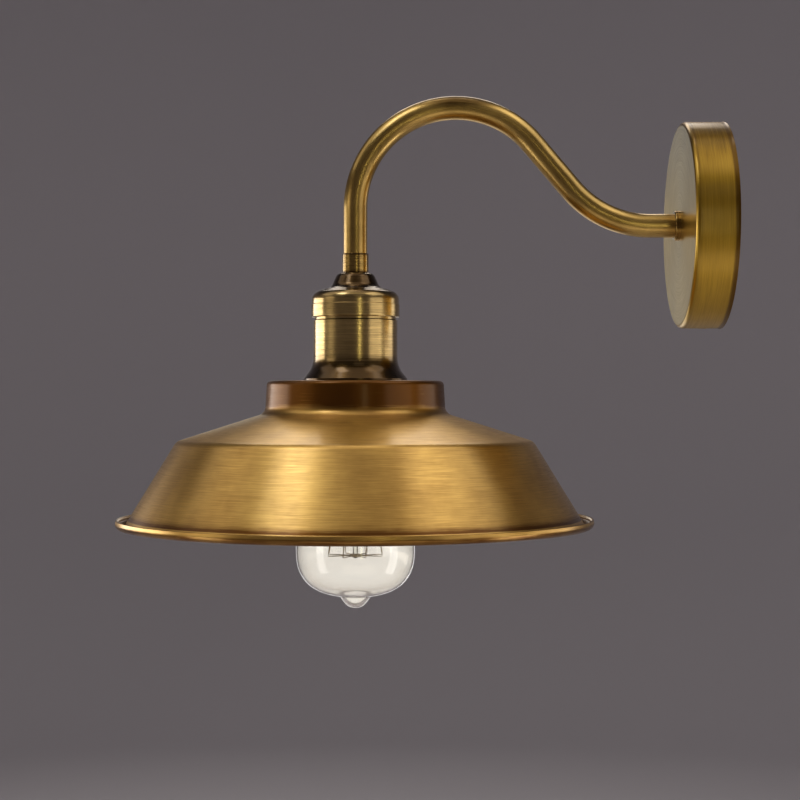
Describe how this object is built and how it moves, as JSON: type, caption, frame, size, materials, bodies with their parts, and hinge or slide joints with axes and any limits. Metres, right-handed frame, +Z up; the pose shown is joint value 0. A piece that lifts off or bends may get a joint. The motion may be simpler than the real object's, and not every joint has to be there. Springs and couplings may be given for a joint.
{
  "type": "gooseneck wall sconce",
  "caption": "Wall light with a bent tube arm, a wide spun metal shade, a screw lamp holder with bulb, and a round canopy over a wall bracket.",
  "frame": {"origin": "centre of the wall bracket's slots, on the wall plane behind the canopy", "axes": "+Z up, +Y into the wall, so the arm reaches out towards -Y; X is sideways and the part is symmetric about X = 0 outside"},
  "size_m": [0.26, 0.33, 0.2803],
  "materials": {
    "antique_brass": "satin antique brass, brushed round, with darkened edges",
    "polished_brass": "polished antique brass, lacquered",
    "brass_fittings": "bright machined brass",
    "zinc_steel": "zinc-plated steel",
    "screw_steel": "plain steel",
    "white_nylon": "moulded nylon",
    "brown_sleeve": "silicone wire sleeve",
    "blue_sleeve": "silicone wire sleeve",
    "earth_sleeve": "silicone wire sleeve",
    "black_phenolic": "moulded phenolic",
    "solder": "soft solder",
    "black_glass": "black insulating glass",
    "nickel_cap": "nickel-plated rolled cap",
    "bulb_glass": "clear blown glass",
    "stem_glass": "clear drawn glass",
    "nickel_wire": "nickel wire",
    "filament_wire": "carbonised filament wire"
  },
  "bodies": {
    "wall_mount": {"wall_bracket": "zinc_steel", "bracket_earth_screw": "brass_fittings", "bracket_earth_washer": "brass_fittings"},
    "fitting": {"canopy": "antique_brass", "canopy_screws": "screw_steel", "canopy_nuts": "zinc_steel", "arm_flange": "antique_brass", "arm_tube": "antique_brass", "arm_root_insert": "brass_fittings", "arm_root_nipple": "zinc_steel", "root_lock_washer": "zinc_steel", "root_earth_tag": "brass_fittings", "root_lock_nut": "zinc_steel", "terminal_housing": "white_nylon", "terminal_barrels": "brass_fittings", "terminal_clamp_screws": "screw_steel", "terminal_stud": "screw_steel", "terminal_stud_nut": "screw_steel", "arm_live_wire": "brown_sleeve", "arm_neutral_wire": "blue_sleeve", "canopy_earth_wire": "earth_sleeve", "arm_tip_insert": "brass_fittings", "arm_tip_nipple": "zinc_steel", "coupler": "antique_brass", "tip_lock_nut": "zinc_steel"},
    "lamp_head": {"bell_cap": "polished_brass", "holder_cap": "polished_brass", "holder_bridge": "zinc_steel", "bridge_screws": "screw_steel", "holder_sleeve": "polished_brass", "holder_insulator": "black_phenolic", "live_terminal": "brass_fittings", "neutral_terminal": "brass_fittings", "holder_terminal_screws": "screw_steel", "holder_live_wire": "brown_sleeve", "holder_neutral_wire": "blue_sleeve", "contact_base": "brass_fittings", "screw_shell": "brass_fittings", "shade": "antique_brass"},
    "sprung_contact": {"contact_leaf": "brass_fittings"},
    "ring": {"shade_ring": "black_phenolic"},
    "bulb": {"bulb_contact": "solder", "bulb_cap_insulator": "black_glass", "bulb_cap": "nickel_cap", "bulb_glass": "bulb_glass", "bulb_stem": "stem_glass", "bulb_lead_wires": "nickel_wire", "filament_upper_hooks": "nickel_wire", "filament_lower_hooks": "nickel_wire", "filament": "filament_wire"}
  },
  "joints": [
    {"name": "canopy_pull_off", "type": "slide", "parent": "wall_mount", "child": "fitting", "axis": [0, -1, 0], "range_m": [0, 0.03]},
    {"name": "head_swivel", "type": "hinge", "parent": "fitting", "child": "lamp_head", "pos_m": [0, -0.20002, -0.03], "axis": [0, 0, 1], "range_deg": [-170, 170]},
    {"name": "contact_flex", "type": "hinge", "parent": "lamp_head", "child": "sprung_contact", "pos_m": [0.0066, -0.20002, -0.0623], "axis": [0, 1, 0], "range_deg": [0, 5], "stiffness_Nm_per_rad": 0.05, "springref_deg": -5.73},
    {"name": "shade_ring_turn", "type": "hinge", "parent": "lamp_head", "child": "ring", "pos_m": [0, -0.20002, -0.089], "axis": [0, 0, -1], "range_deg": [0, 720]},
    {"name": "bulb_out", "type": "slide", "parent": "lamp_head", "child": "bulb", "axis": [0, 0, -1], "range_m": [0, 0.115]}
  ]
}
